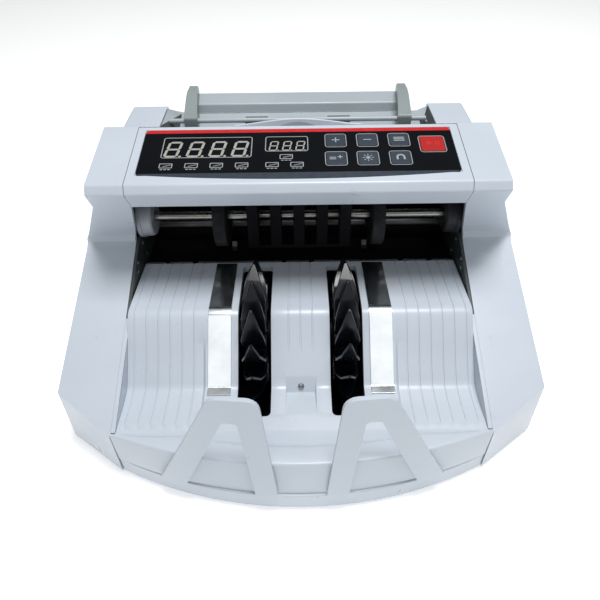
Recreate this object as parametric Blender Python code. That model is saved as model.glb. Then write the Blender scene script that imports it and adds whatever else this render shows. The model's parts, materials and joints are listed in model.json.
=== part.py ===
"""Banknote counting machine, built piece by piece.

The machine faces -Y, +X is to its right and +Z is up. Every size below is in millimetres.
Meshes are written in metres.
"""
import math

import bmesh
import bpy
from mathutils import Matrix, Vector

MM = 0.001
GAP = 0.3
WALL = 2.5

# Casing, seen from the side: (y, z) of its corners
BASE_Z = 2.5
BAND_TOP = 14.5
ARM_TOE = (-101.0, 34.0)
VALLEY = (20.0, 84.5)
LIP_FOOT = (-5.0, 122.0)
LIP_NOSE = (-12.5, 134.0)
RIDGE = (-10.0, 139.0)
HEAD_REAR = (42.0, 148.2)
SIDE_FALL = [(62.0, 132.0), (104.0, 96.0)]
REAR_Y = 112.0
REAR_TOP_Z = 147.5

# Casing, half widths
BASE_HALF = 139.5
WAIST_HALF = 134.5
NECK_HALF = 116.0
HEAD_HALF = 115.0
ARM_INNER_HALF = 104.0
SEAM_HALF = 94.3
WAIST_Z = 86.0
NECK_Z = 122.0
CHAMFER_OUTER = (137.0, -74.5)
CHAMFER_INNER = (106.0, -97.0)

# Rounded front of the base
FRONT_Y = -122.3
FRONT_CORNER_Y = -97.5
LIP_Y = -118.0
LIP_CORNER_Y = -98.3
LIP_Z = 38.2
STOP_THICK, STOP_GAP = 2.4, 0.4
STOP_FOOT = (13.0, 16.0)

# Stacker tray, top surface from the back to the front
TRAY_HALF = 101.5
TRAY_REAR = (16.0, 65.0)
TRAY_BEND = (-34.0, 68.0)
TRAY_CREASE = (-67.0, 38.5)
TRAY_FRONT = (-96.0, 35.0)
TRAY_THICK = 2.5
STRIP_INNER, STRIP_OUTER = 40.5, 54.0
SLOT_INNER, SLOT_OUTER = 14.5, 36.5

# Frame plates
PLATE_INNER, PLATE_OUTER = 102.3, 103.8

# Shafts: (y, z)
FEED_AXIS = (31.0, 92.4)
PINCH_AXIS = (49.4, 73.2)
PICKUP_AXIS = (54.2, 126.8)
STACKER_AXIS = (-33.6, 50.0)
MAIN_MOTOR_AXIS = (78.0, 38.0)
STACKER_MOTOR_AXIS = (22.0, 28.0)
SHAFT_R = 3.0
RUNNING_GAP = 0.4
FEED_WHEEL_R, FEED_WHEEL_X, FEED_WHEEL_W = 20.0, 49.5, 8.0
PINCH_R = 6.0
PICKUP_R, PICKUP_X, PICKUP_W = 11.8, 26.0, 12.0
PADDLE_R, PADDLE_X, PADDLE_W = 44.5, 26.5, 13.6
PADDLE_BLADES, PADDLE_HUB_R, BLADE_HALF = 15, 14.0, 0.9
BLADE_SWEEP, FIRST_TIP = math.radians(42.0), math.radians(0.6)
PETAL = [(6.8, 29.0), (5.4, 34.0), (3.6, 38.5), (1.9, 42.0), (0.5, 44.9)]
PULLEY_X0, PULLEY_X1 = 107.0, 114.0
FEED_PULLEY_R, MAIN_PULLEY_R = 8.0, 6.4
STACKER_PULLEY_R, STACKER_MOTOR_PULLEY_R = 6.0, 4.8
BELT_THICK = 1.4

# Control panel, in its own tilted frame: x across, t up the slope, n out of it
PANEL_TILT = math.atan2(HEAD_REAR[1] - RIDGE[1], HEAD_REAR[0] - RIDGE[0])
MEMBRANE_HALF = 89.0
MEMBRANE_LOW, MEMBRANE_HIGH = 7.7, 48.3
MEMBRANE_THICK = 0.6
KEY_SIZE = (10.9, 10.8)
START_SIZE = (13.6, 13.6)
KEY_PROUD = 0.4
KEYS = {
    "key_plus": (21.6, 36.6, KEY_SIZE),
    "key_minus": (39.8, 36.6, KEY_SIZE),
    "key_batch": (58.0, 36.6, KEY_SIZE),
    "key_add": (21.2, 20.2, KEY_SIZE),
    "key_light_check": (39.0, 20.2, KEY_SIZE),
    "key_magnet_check": (57.2, 20.2, KEY_SIZE),
    "key_start": (76.6, 32.4, START_SIZE),
}
COUNT_DISPLAY = (-53.5, 30.6, 52.0, 18.6)
BATCH_DISPLAY = (-7.9, 34.0, 24.0, 13.6)

# Hopper
HOPPER_HALF, HOPPER_FLOOR_HALF, HOPPER_BACK_HALF = 82.2, 74.0, 64.0
HOPPER_STATIONS = [(46.5, 135.5, 146.7, 2.2), (70.6, 143.0, 146.7, 2.2), (79.2, 140.0, 140.3, 0.65)]
RAIL_AXIS = (54.5, 145.6)
RAIL_R = 1.5
GUIDE_X, GUIDE_W = 64.8, 8.4


# ---------------------------------------------------------------- helpers

def clear_scene():
    for obj in list(bpy.data.objects):
        bpy.data.objects.remove(obj, do_unlink=True)


def make_material(name, colour, roughness, metallic=0.0):
    material = bpy.data.materials.new(name)
    material.use_nodes = True
    shader = material.node_tree.nodes["Principled BSDF"]
    shader.inputs["Base Color"].default_value = (*colour, 1.0)
    shader.inputs["Roughness"].default_value = roughness
    shader.inputs["Metallic"].default_value = metallic
    material.diffuse_color = (*colour, 1.0)
    return material


def add_object(bm, name, material=None):
    """Turn a bmesh in millimetres into an object in metres."""
    bmesh.ops.recalc_face_normals(bm, faces=bm.faces)
    bmesh.ops.scale(bm, vec=(MM, MM, MM), verts=bm.verts)
    mesh = bpy.data.meshes.new(name)
    bm.to_mesh(mesh)
    bm.free()
    obj = bpy.data.objects.new(name, mesh)
    bpy.context.scene.collection.objects.link(obj)
    if material:
        mesh.materials.append(material)
    return obj


def set_origin(obj, point):
    """Move an object's origin to a point in millimetres, leaving its shape where it is."""
    place = Vector(point) * MM
    obj.data.transform(Matrix.Translation(-place))
    obj.location = place


def boolean(target, tool, operation="DIFFERENCE"):
    """Cut or join a tool object into the target, then remove the tool."""
    modifier = target.modifiers.new("boolean", "BOOLEAN")
    modifier.operation = operation
    modifier.object = tool
    modifier.solver = "EXACT"
    bpy.context.view_layer.update()
    graph = bpy.context.evaluated_depsgraph_get()
    result = bpy.data.meshes.new_from_object(target.evaluated_get(graph))
    target.modifiers.clear()
    target.data = result
    result.name = target.name
    bpy.data.objects.remove(tool, do_unlink=True)
    return target


def place_on_axis(axis, along, pair):
    """A 3-D point from its distance along an axis and its two other coordinates."""
    a, b = pair
    if axis == "X":
        return (along, a, b)
    if axis == "Y":
        return (a, along, b)
    return (a, b, along)


def loft(name, sections, material=None):
    """Join closed sections, each a list of 3-D points of the same length, into one solid."""
    bm = bmesh.new()
    rings = [[bm.verts.new(point) for point in section] for section in sections]
    count = len(rings[0])
    for near, far in zip(rings, rings[1:]):
        for i in range(count):
            j = (i + 1) % count
            bm.faces.new((near[i], near[j], far[j], far[i]))
    bm.faces.new(list(reversed(rings[0])))
    bm.faces.new(rings[-1])
    return add_object(bm, name, material)


def prism(name, outline, axis, start, stop, material=None):
    """Extrude an outline of pairs along an axis."""
    sections = [[place_on_axis(axis, end, pair) for pair in outline] for end in (start, stop)]
    return loft(name, sections, material)


def box(name, low, high, material=None):
    outline = [(low[0], low[1]), (high[0], low[1]), (high[0], high[1]), (low[0], high[1])]
    return prism(name, outline, "Z", low[2], high[2], material)


def circle(centre, radius, count=32):
    turns = [2 * math.pi * i / count for i in range(count)]
    return [(centre[0] + radius * math.cos(turn), centre[1] + radius * math.sin(turn)) for turn in turns]


def turned(name, axis, centre, steps, material=None, bore=0.0, count=32):
    """A turned piece: steps are (position along the axis, radius) from one end to the other."""
    bm = bmesh.new()
    rows = [(along, radius) for along, radius in steps]
    if bore:
        rows = rows + [(steps[-1][0], bore), (steps[0][0], bore)]
    rings = []
    for along, radius in rows:
        ring = [bm.verts.new(place_on_axis(axis, along, pair)) for pair in circle(centre, radius, count)]
        rings.append(ring)
    pairs = list(zip(rings, rings[1:]))
    if bore:
        pairs.append((rings[-1], rings[0]))
    else:
        bm.faces.new(rings[0])
        bm.faces.new(rings[-1])
    for near, far in pairs:
        for i in range(count):
            j = (i + 1) % count
            face = bm.faces.new((near[i], near[j], far[j], far[i]))
            face.smooth = True
    return add_object(bm, name, material)


def round_corners(points, radius, steps=4, closed=True):
    """Replace each corner by an arc. A dictionary gives some corners a radius of their own."""
    rounded = []
    last = len(points) - 1
    for i, point in enumerate(points):
        size = radius.get(i, 0.0) if isinstance(radius, dict) else radius
        if size <= 0 or (not closed and i in (0, last)):
            rounded.append(point)
            continue
        corner = Vector(point)
        before = (Vector(points[i - 1]) - corner).normalized()
        after = (Vector(points[(i + 1) % len(points)]) - corner).normalized()
        half = before.angle(after) / 2
        reach = size / math.tan(half)
        centre = corner + (before + after).normalized() * (size / math.sin(half))
        start = corner + before * reach - centre
        stop = corner + after * reach - centre
        sweep = start.angle_signed(stop)
        for step in range(steps + 1):
            turn = -sweep * step / steps
            spoke = Vector((
                start.x * math.cos(turn) - start.y * math.sin(turn),
                start.x * math.sin(turn) + start.y * math.cos(turn),
            ))
            rounded.append(tuple(centre + spoke))
    return rounded


def offset_path(points, distance):
    """Move an open path sideways, to its left when the distance is positive."""
    moved = []
    for i, point in enumerate(points):
        here = Vector(point)
        into = (here - Vector(points[i - 1])).normalized() if i else None
        out = (Vector(points[i + 1]) - here).normalized() if i + 1 < len(points) else None
        into = into or out
        out = out or into
        normal = (Vector((-into.y, into.x)) + Vector((-out.y, out.x))).normalized()
        stretch = 1.0 / max(0.3, normal.dot(Vector((-into.y, into.x))))
        moved.append(tuple(here + normal * distance * stretch))
    return moved


def sheet(name, path, thickness, start, stop, material=None, shift=0.0):
    """A bent sheet: a path in (y, z) with its thickness to the left, extruded along X."""
    face = offset_path(path, shift) if shift else path
    back = offset_path(path, shift + thickness)
    return prism(name, face + back[::-1], "X", start, stop, material)


def rectangle(centre_x, centre_y, width, height):
    x0, x1 = centre_x - width / 2, centre_x + width / 2
    y0, y1 = centre_y - height / 2, centre_y + height / 2
    return [(x0, y0), (x1, y0), (x1, y1), (x0, y1)]


def arc_y(x, middle_y, corner_y, corner_x=ARM_INNER_HALF):
    """The y of a shallow front arc that passes (0, middle_y) and (corner_x, corner_y)."""
    sag = corner_y - middle_y
    radius = (corner_x ** 2 + sag ** 2) / (2 * sag)
    return middle_y + radius - math.sqrt(radius ** 2 - x ** 2)


def on_panel(x, t, n):
    """World position of a point given in the control panel's own frame."""
    cosine, sine = math.cos(PANEL_TILT), math.sin(PANEL_TILT)
    return (x, RIDGE[0] + t * cosine - n * sine, RIDGE[1] + t * sine + n * cosine)


def panel_block(name, outline, low, high, material=None):
    """A solid standing on the panel: outline in (x, t), from n = low to n = high."""
    sections = [[on_panel(x, t, n) for x, t in outline] for n in (low, high)]
    return loft(name, sections, material)


# ---------------------------------------------------------------- casing

def half_width(z):
    """Half width of the casing's outside at a height."""
    if z <= WAIST_Z:
        return BASE_HALF + (WAIST_HALF - BASE_HALF) * z / WAIST_Z
    if z <= NECK_Z:
        return WAIST_HALF + (NECK_HALF - WAIST_HALF) * (z - WAIST_Z) / (NECK_Z - WAIST_Z)
    return NECK_HALF + (HEAD_HALF - NECK_HALF) * min(1.0, (z - NECK_Z) / (RIDGE[1] - NECK_Z))


def inner_width(z):
    """Half width of the space between the two side covers at a height."""
    if z <= WAIST_Z:
        return ARM_INNER_HALF
    if z <= NECK_Z:
        return ARM_INNER_HALF + (SEAM_HALF - ARM_INNER_HALF) * (z - WAIST_Z) / (NECK_Z - WAIST_Z)
    return SEAM_HALF


def side_corners():
    """The side cover's outline in (y, z), from its front foot over the head to its rear foot."""
    front = [(ARM_TOE[0], BASE_Z), ARM_TOE, VALLEY, LIP_NOSE, RIDGE, HEAD_REAR]
    return front + [*SIDE_FALL, (REAR_Y, 62.0), (REAR_Y, BASE_Z)]


def cover_block(name, outline, reach, inner, inset):
    """A side cover's solid, cut off by the slanting front corner moved in by an inset."""
    bm = bmesh.new()
    near = [bm.verts.new((-1.0, y, z)) for y, z in outline]
    far = [bm.verts.new((1.0, y, z)) for y, z in outline]
    for i in range(len(outline)):
        j = (i + 1) % len(outline)
        bm.faces.new((near[i], near[j], far[j], far[i]))
    bm.faces.new(near[::-1])
    bm.faces.new(far)
    for height in (WAIST_Z, NECK_Z, RIDGE[1]):
        everything = bm.verts[:] + bm.edges[:] + bm.faces[:]
        bmesh.ops.bisect_plane(bm, geom=everything, plane_co=(0, 0, height), plane_no=(0, 0, 1))
    for vertex in bm.verts:
        vertex.co.x = reach(vertex.co.z) if vertex.co.x > 0 else inner(vertex.co.z)
    along = Vector(CHAMFER_OUTER) - Vector(CHAMFER_INNER)
    normal = Vector((-along.y, along.x, 0.0)).normalized() * -1
    corner = Vector((*CHAMFER_INNER, 0.0)) - normal * inset
    everything = bm.verts[:] + bm.edges[:] + bm.faces[:]
    cut = bmesh.ops.bisect_plane(
        bm, geom=everything, plane_co=corner, plane_no=normal, clear_outer=True)
    rim = [item for item in cut["geom_cut"] if isinstance(item, bmesh.types.BMEdge)]
    bmesh.ops.holes_fill(bm, edges=rim)
    return add_object(bm, name)


def mirrored(obj, name, material):
    """A copy of an object on the other side of the machine."""
    bm = bmesh.new()
    bm.from_mesh(obj.data)
    bmesh.ops.scale(bm, vec=(-1 / MM, 1 / MM, 1 / MM), verts=bm.verts)
    bmesh.ops.reverse_faces(bm, faces=bm.faces)
    return add_object(bm, name, material)


def build_side_covers(plastic):
    radii = {2: 7.0, 3: 1.5, 4: 2.0, 5: 2.0, 7: 8.0, 8: 8.0}
    outside = round_corners(side_corners(), radii, steps=3, closed=False)
    right = cover_block("right_side_cover", outside, half_width, inner_width, 0.0)
    inside = round_corners(offset_path(side_corners(), -WALL), {2: 7.0}, steps=3, closed=False)
    inside[0] = (inside[0][0], -5.0)
    inside[-1] = (inside[-1][0], -5.0)
    hollow = cover_block("hollow", inside, lambda z: half_width(z) - WALL, lambda z: 85.0, WALL)
    boolean(right, hollow)
    boolean(right, box("rear_room", (80, HEAD_REAR[0] + GAP, 80), (ARM_INNER_HALF, 125, 160)))
    right.data.materials.append(plastic)
    mirrored(right, "left_side_cover", plastic)


def build_panel_housing(plastic):
    half = SEAM_HALF - GAP
    outline = [LIP_FOOT, LIP_NOSE, RIDGE, HEAD_REAR, (HEAD_REAR[0], 130.0)]
    outline = round_corners(outline, {1: 1.5, 2: 2.0, 3: 1.5}, steps=3)
    housing = prism("control_panel_housing", outline, "X", -half, half, plastic)
    path = offset_path([LIP_FOOT, LIP_NOSE, RIDGE, HEAD_REAR, (HEAD_REAR[0], 130.0)], -WALL)
    path[0] = (path[0][0] + 8.0, path[0][1] - 12.0)
    path[-1] = (path[-1][0], 110.0)
    boolean(housing, prism("pocket", path, "X", -half + WALL, half - WALL))
    middle = (MEMBRANE_LOW + MEMBRANE_HIGH) / 2
    height = MEMBRANE_HIGH - MEMBRANE_LOW
    recess = rectangle(0, middle, 2 * (MEMBRANE_HALF + GAP), height + 2 * GAP)
    boolean(housing, panel_block("recess", recess, -MEMBRANE_THICK - GAP, 5.0))
    for x, t, size in KEYS.values():
        hole = rectangle(x, t, size[0] + 2 * GAP, size[1] + 2 * GAP)
        boolean(housing, panel_block("key_hole", hole, -6.0, 5.0))
    for x, t, width, tall in (COUNT_DISPLAY, BATCH_DISPLAY):
        hole = rectangle(x, t, width + 2 * GAP, tall + 2 * GAP)
        boolean(housing, panel_block("display_hole", hole, -6.0, 5.0))


def rear_path():
    """The rear cover's outside in (y, z), from the top front to the foot."""
    corners = [
        (HEAD_REAR[0] + 1.0, REAR_TOP_Z), (74.0, REAR_TOP_Z), (98.0, 112.0),
        (REAR_Y, 70.0), (REAR_Y, BASE_Z + 0.5),
    ]
    return round_corners(corners, {1: 5.0, 2: 10.0, 3: 10.0}, steps=4, closed=False)


def build_rear_cover(plastic):
    half = ARM_INNER_HALF - GAP
    cover = sheet("rear_cover", rear_path(), -WALL, -half, half, plastic)
    brow = [(y, z) for y, z in offset_path(rear_path(), -WALL / 2) if z > 66.0]
    under = [(108.0, 66.0)] + [(y, z - 0.8) for y, z in SIDE_FALL[::-1]]
    for side in (-1, 1):
        low, high = sorted((side * (half - 0.2), side * (half - WALL)))
        boolean(cover, prism("cheek", brow + under, "X", low, high), "UNION")
    boolean(cover, box("hopper_room", (-HOPPER_HALF - GAP, 30, 139.0), (HOPPER_HALF + GAP, 80, 160)))
    boolean(cover, box("inlet_room", (56.2, 100, 20.2), (83.8, 130, 40.4)))
    boolean(cover, box("switch_room", (26.2, 100, 22.2), (47.8, 130, 38.4)))
    hole = turned("knob_hole", "Y", (0, 55.0), [(100, 3.4), (130, 3.4)])
    boolean(cover, hole)


def base_outline(inset=0.0):
    """Plan of the base pan: a shallow arc in front, straight sides inside the covers."""
    edge = ARM_INNER_HALF - GAP
    reach = edge - inset
    front = [(reach * i / 10, 0) for i in range(-10, 11)]
    front = [(x, arc_y(x, FRONT_Y, FRONT_CORNER_Y) + inset) for x, _ in front]
    side = [
        (edge - inset, -93.6 + inset), (133.0 - inset, -73.0 + inset),
        (135.8 - inset, -69.0 + inset), (135.8 - inset, REAR_Y - WALL - GAP - inset),
    ]
    return front + side + [(-x, y) for x, y in reversed(side)]


def build_base_pan(plastic):
    pan = prism("base_pan", base_outline(), "Z", BASE_Z, BAND_TOP, plastic)
    pocket = prism("pocket", base_outline(WALL), "Z", BASE_Z + WALL, BAND_TOP + 5)
    boolean(pan, pocket)


def front_section(z, middle_y, corner_y, inset=0.0, back=TRAY_FRONT[0] - GAP):
    edge = ARM_INNER_HALF - GAP - inset
    xs = [edge * i / 14 for i in range(-14, 15)]
    front = [(x, arc_y(x, middle_y, corner_y) + inset, z) for x in xs]
    return front + [(edge, back - inset, z), (-edge, back - inset, z)]


def build_front_shell(plastic):
    low = BAND_TOP + GAP
    blend = (low - BASE_Z) / (LIP_Z - BASE_Z)
    middle = FRONT_Y + (LIP_Y - FRONT_Y) * blend
    corner = FRONT_CORNER_Y + (LIP_CORNER_Y - FRONT_CORNER_Y) * blend
    shell = loft("front_shell", [
        front_section(low, middle, corner),
        front_section(LIP_Z - 1.2, LIP_Y, LIP_CORNER_Y),
        front_section(LIP_Z, LIP_Y + 1.2, LIP_CORNER_Y + 0.6),
    ], plastic)
    xs = [60.0 * i / 8 for i in range(-8, 9)]
    front = [(x, arc_y(x, LIP_Y, LIP_CORNER_Y) + WALL) for x in xs]
    hollow = front + [(60.0, TRAY_FRONT[0] - GAP - WALL), (-60.0, TRAY_FRONT[0] - GAP - WALL)]
    boolean(shell, prism("hollow", hollow, "Z", low - 5, LIP_Z - WALL - 1.5))


def wall_y(x, z):
    """The y of the front wall's face, carried on upwards above the lip."""
    blend = (z - BASE_Z) / (LIP_Z - BASE_Z)
    low = arc_y(x, FRONT_Y, FRONT_CORNER_Y)
    return low + (arc_y(x, LIP_Y, LIP_CORNER_Y) - low) * blend


def stop_outline():
    """A note stop opened flat, right-hand one: (distance along the front arc, height)."""
    outer = [(77.5, 16.0), (43.5, 86.0), (20.0, 86.0), STOP_FOOT, (25.0, 16.0)]
    inner = [(31.0, 70.5), (38.5, 70.5), (62.8, 16.0)]
    return round_corners(outer + inner, {1: 8.0, 2: 7.0, 5: 2.0, 6: 2.0}, steps=5)


def build_note_stop(name, side, plastic):
    """A two-legged plate that stands outside the front wall and follows its curve."""
    outline = stop_outline()
    bm = bmesh.new()
    rings = []
    for depth in (0.0, STOP_THICK):
        rings.append([bm.verts.new((x, -depth, z)) for x, z in outline])
    for i in range(len(outline)):
        j = (i + 1) % len(outline)
        bm.faces.new((rings[0][i], rings[0][j], rings[1][j], rings[1][i]))
    bm.faces.new(rings[0][::-1])
    bm.faces.new(rings[1])
    for step in range(2, 11):
        everything = bm.verts[:] + bm.edges[:] + bm.faces[:]
        bmesh.ops.bisect_plane(bm, geom=everything, plane_co=(step * 7.3, 0, 0), plane_no=(1, 0, 0))
    for vertex in bm.verts:
        x, depth, z = vertex.co
        vertex.co = (side * x, wall_y(x, z) - STOP_GAP + depth, z)
    if side < 0:
        bmesh.ops.reverse_faces(bm, faces=bm.faces)
    add_object(bm, name, plastic)


def build_feet(rubber):
    for end, y in (("front", -78.0), ("rear", 92.0)):
        for side, x in (("left", -92.0), ("right", 92.0)):
            steps = [(0.0, 7.5), (BASE_Z - GAP, 8.5)]
            turned(f"{end}_{side}_foot", "Z", (x, y), steps, rubber, count=24)


# ---------------------------------------------------------------- stacker

def tray_path():
    corners = [TRAY_REAR, TRAY_BEND, TRAY_CREASE, TRAY_FRONT]
    return round_corners(corners, {1: 9.0, 2: 3.0}, steps=5, closed=False)


def build_tray(plastic):
    tray = sheet("stacker_tray", tray_path(), TRAY_THICK, -TRAY_HALF, TRAY_HALF, plastic)
    for side in (-1, 1):
        low, high = sorted((side * SLOT_INNER, side * SLOT_OUTER))
        boolean(tray, box("slot", (low, -86.0, 0.0), (high, 12.5, 100.0)))


def build_wear_strips(steel):
    rear = (TRAY_REAR[0] - 2.0, TRAY_REAR[1] + 0.12)
    fall = (TRAY_FRONT[1] - TRAY_CREASE[1]) / (TRAY_FRONT[0] - TRAY_CREASE[0])
    front_y = -72.5
    front = (front_y, TRAY_CREASE[1] + fall * (front_y - TRAY_CREASE[0]))
    path = round_corners([rear, TRAY_BEND, TRAY_CREASE, front], {1: 9.0, 2: 3.0}, steps=5, closed=False)
    for name, side in (("left_wear_strip", -1), ("right_wear_strip", 1)):
        low, high = sorted((side * STRIP_INNER, side * STRIP_OUTER))
        sheet(name, path, -0.6, low, high, steel, shift=-GAP)


def paddle_outline():
    """A hub with blades that trail backwards, round (0, 0)."""
    points = []
    steps = 4
    for blade in range(PADDLE_BLADES):
        root = FIRST_TIP + BLADE_SWEEP + blade * 2 * math.pi / PADDLE_BLADES
        shares = [i / steps for i in range(steps + 1)]
        radii = [PADDLE_HUB_R + (PADDLE_R - PADDLE_HUB_R) * share for share in shares]
        turns = [root - BLADE_SWEEP * share ** 1.2 for share in shares]
        rising = [(r, a - BLADE_HALF / r) for r, a in zip(radii, turns)]
        falling = [(r, a + BLADE_HALF / r) for r, a in zip(radii, turns)]
        for r, a in rising + falling[::-1]:
            points.append((r * math.cos(a), r * math.sin(a)))
    return points


def build_paddle_wheel(name, side, plastic):
    """A paddle wheel whose blades narrow to a point like petals."""
    y, z = STACKER_AXIS
    outline = [(y + a, z + b) for a, b in paddle_outline()]
    middle = side * PADDLE_X
    low, high = middle - PADDLE_W / 2, middle + PADDLE_W / 2
    wheel = prism(name, outline, "X", low, high, plastic)
    near = [(middle - half, r) for half, r in PETAL]
    far = [(middle + half, r) for half, r in PETAL[::-1]]
    boolean(wheel, turned("petals", "X", (y, z), near + far, count=30), "INTERSECT")
    boolean(wheel, turned("bore", "X", (y, z), [(low - 2, SHAFT_R + GAP), (high + 2, SHAFT_R + GAP)]))
    set_origin(wheel, (0, y, z))


# ---------------------------------------------------------------- frame

def plate_outline():
    """A frame plate in (y, z). Its front top edge stays just under the slope of the arms."""
    front = TRAY_FRONT[0] + 0.1
    slope = (VALLEY[1] - ARM_TOE[1]) / (VALLEY[0] - ARM_TOE[0])
    brow = [(y, ARM_TOE[1] + (y - ARM_TOE[0]) * slope - 0.7) for y in (front, 14.0)]
    foot = [(-66.0, 8.0), (-66.0, 16.0), (front, 16.0)]
    neck = [(25.6, 84.5), (-2.5, 127.0), (40.0, 131.0), (60.5, 131.0)]
    return foot + brow + neck + [(78.0, 112.0), (100.0, 60.0), (100.0, 8.0)]


def build_frame_plates(steel):
    for name, side in (("left_frame_plate", -1), ("right_frame_plate", 1)):
        low, high = sorted((side * PLATE_INNER, side * PLATE_OUTER))
        plate = prism(name, plate_outline(), "X", low, high, steel)
        for axis in (FEED_AXIS, PINCH_AXIS, PICKUP_AXIS, STACKER_AXIS):
            reach = SHAFT_R + RUNNING_GAP
            boolean(plate, turned("hole", "X", axis, [(low - 2, reach), (high + 2, reach)]))
        motor = MAIN_MOTOR_AXIS if side < 0 else STACKER_MOTOR_AXIS
        boolean(plate, turned("hole", "X", motor, [(low - 2, 5.0), (high + 2, 5.0)]))


def build_cowl(black):
    """The curved black guide behind the outlet."""
    path = round_corners(
        [(18.0, 62.0), (50.0, 62.0), (66.0, 80.0), (68.0, 108.0)], {1: 8.0, 2: 8.0}, steps=4, closed=False)
    sheet("inner_cowl", path, -2.0, -TRAY_HALF, TRAY_HALF, black)


def build_comb(black):
    """Five ribs between two bars, in front of the feed shaft."""
    pitch, rib = 14.3, 7.0
    xs = [pitch * i for i in range(-2, 3)]
    comb = box("separator_comb", (xs[0] - rib / 2, 13.0, 79.0), (xs[-1] + rib / 2, 24.5, 118.0), black)
    for left, right in zip(xs, xs[1:]):
        low, high = left + rib / 2, right - rib / 2
        boolean(comb, box("gap", (low, 5.0, 81.0), (high, 40.0, 115.0)))


# ---------------------------------------------------------------- note drive

def shaft(name, axis, reach, material):
    left, right = reach
    steps = [(left, SHAFT_R - 0.5), (left + 0.5, SHAFT_R), (right - 0.5, SHAFT_R), (right, SHAFT_R - 0.5)]
    obj = turned(name, "X", axis, steps, material, count=24)
    set_origin(obj, (0, *axis))


def pinch_shaft(name, material):
    """A shaft with two rollers turned on it, under the feed wheels."""
    end = PLATE_OUTER + 4
    steps = [(-end, SHAFT_R)]
    for side in (-1, 1):
        low, high = side * FEED_WHEEL_X - 4.0, side * FEED_WHEEL_X + 4.0
        steps += [(low, SHAFT_R), (low, PINCH_R), (high, PINCH_R), (high, SHAFT_R)]
    steps.append((end, SHAFT_R))
    obj = turned(name, "X", PINCH_AXIS, steps, material, count=24)
    set_origin(obj, (0, *PINCH_AXIS))


def roller(name, axis, centre, width, radius, material, count=40):
    low, high = centre - width / 2, centre + width / 2
    steps = [(low, radius - 0.6), (low + 0.6, radius), (high - 0.6, radius), (high, radius - 0.6)]
    obj = turned(name, "X", axis, steps, material, bore=SHAFT_R + GAP, count=count)
    set_origin(obj, (0, *axis))


def pulley(name, axis, side, radius, material, stub=None):
    """A flanged belt pulley outside a frame plate, with a shaft stub where a motor drives it."""
    flange = radius + 1.5
    low, high = PULLEY_X0, PULLEY_X1
    steps = [(low, flange), (low + 0.8, flange), (low + 0.8, radius), (high - 0.8, radius)]
    steps += [(high - 0.8, flange), (high, flange)]
    if stub is not None:
        steps = [(stub, 2.0), (low, 2.0)] + steps
    steps = [(side * along, r) for along, r in steps]
    bore = 0.0 if stub is not None else SHAFT_R + GAP
    obj = turned(name, "X", axis, steps, material, bore=bore, count=32)
    set_origin(obj, (0, *axis))


def belt(name, first, first_r, second, second_r, side, material):
    """A flat belt round two pulleys, drawn as a closed loop of even thickness."""
    a, b = Vector(first), Vector(second)
    line = b - a
    heading = math.atan2(line.y, line.x)
    lean = math.acos((first_r - second_r) / line.length)

    def loop(extra):
        points = []
        steps = 12
        for i in range(steps + 1):
            turn = heading + lean + (2 * math.pi - 2 * lean) * i / steps
            radius = first_r + extra
            points.append((a.x + radius * math.cos(turn), a.y + radius * math.sin(turn)))
        for i in range(steps + 1):
            turn = heading - lean + 2 * lean * i / steps
            radius = second_r + extra
            points.append((b.x + radius * math.cos(turn), b.y + radius * math.sin(turn)))
        return points

    low, high = sorted((side * (PULLEY_X0 + 1.2), side * (PULLEY_X1 - 1.2)))
    obj = prism(name, loop(GAP + BELT_THICK), "X", low, high, material)
    boolean(obj, prism("inside", loop(GAP), "X", low - 1, high + 1))


def bush(name, side, material):
    """A flanged bearing bush for the feed shaft, against the inside of a frame plate."""
    near, far = PLATE_INNER - GAP, PLATE_INNER - 9.5
    steps = [(side * near, 13.4), (side * (near - 2.5), 13.4), (side * (near - 2.5), 12.8)]
    steps += [(side * (far + 1), 12.4), (side * far, 11.4)]
    turned(name, "X", FEED_AXIS, steps, material, bore=SHAFT_R + RUNNING_GAP, count=40)


def build_drive(steel, black_rubber, white, dark, grey):
    shaft("feed_shaft", FEED_AXIS, (-PULLEY_X1 - 1, PLATE_OUTER + 4), steel)
    pinch_shaft("pinch_shaft", steel)
    shaft("pickup_shaft", PICKUP_AXIS, (-PLATE_OUTER - 4, PLATE_OUTER + 4), steel)
    shaft("stacker_shaft", STACKER_AXIS, (-PLATE_OUTER - 4, PULLEY_X1 + 1), steel)
    for side_name, side in (("left", -1), ("right", 1)):
        name = f"{side_name}_feed_wheel"
        roller(name, FEED_AXIS, side * FEED_WHEEL_X, FEED_WHEEL_W, FEED_WHEEL_R, black_rubber)
        name = f"{side_name}_pickup_roller"
        roller(name, PICKUP_AXIS, side * PICKUP_X, PICKUP_W, PICKUP_R, black_rubber, count=32)
    bush("left_feed_bush", -1, white)
    bush("right_feed_bush", 1, dark)
    pulley("feed_pulley", FEED_AXIS, -1, FEED_PULLEY_R, dark)
    pulley("main_motor_pulley", MAIN_MOTOR_AXIS, -1, MAIN_PULLEY_R, steel, stub=98.0)
    pulley("stacker_pulley", STACKER_AXIS, 1, STACKER_PULLEY_R, dark)
    pulley("stacker_motor_pulley", STACKER_MOTOR_AXIS, 1, STACKER_MOTOR_PULLEY_R, steel, stub=98.0)
    belt("feed_belt", FEED_AXIS, FEED_PULLEY_R, MAIN_MOTOR_AXIS, MAIN_PULLEY_R, -1, black_rubber)
    belt("stacker_belt", STACKER_AXIS, STACKER_PULLEY_R, STACKER_MOTOR_AXIS, STACKER_MOTOR_PULLEY_R,
         1, black_rubber)
    motor("main_motor", MAIN_MOTOR_AXIS, -1, 22.0, 62.0, grey)
    motor("stacker_motor", STACKER_MOTOR_AXIS, 1, 16.0, 46.0, grey)


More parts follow.
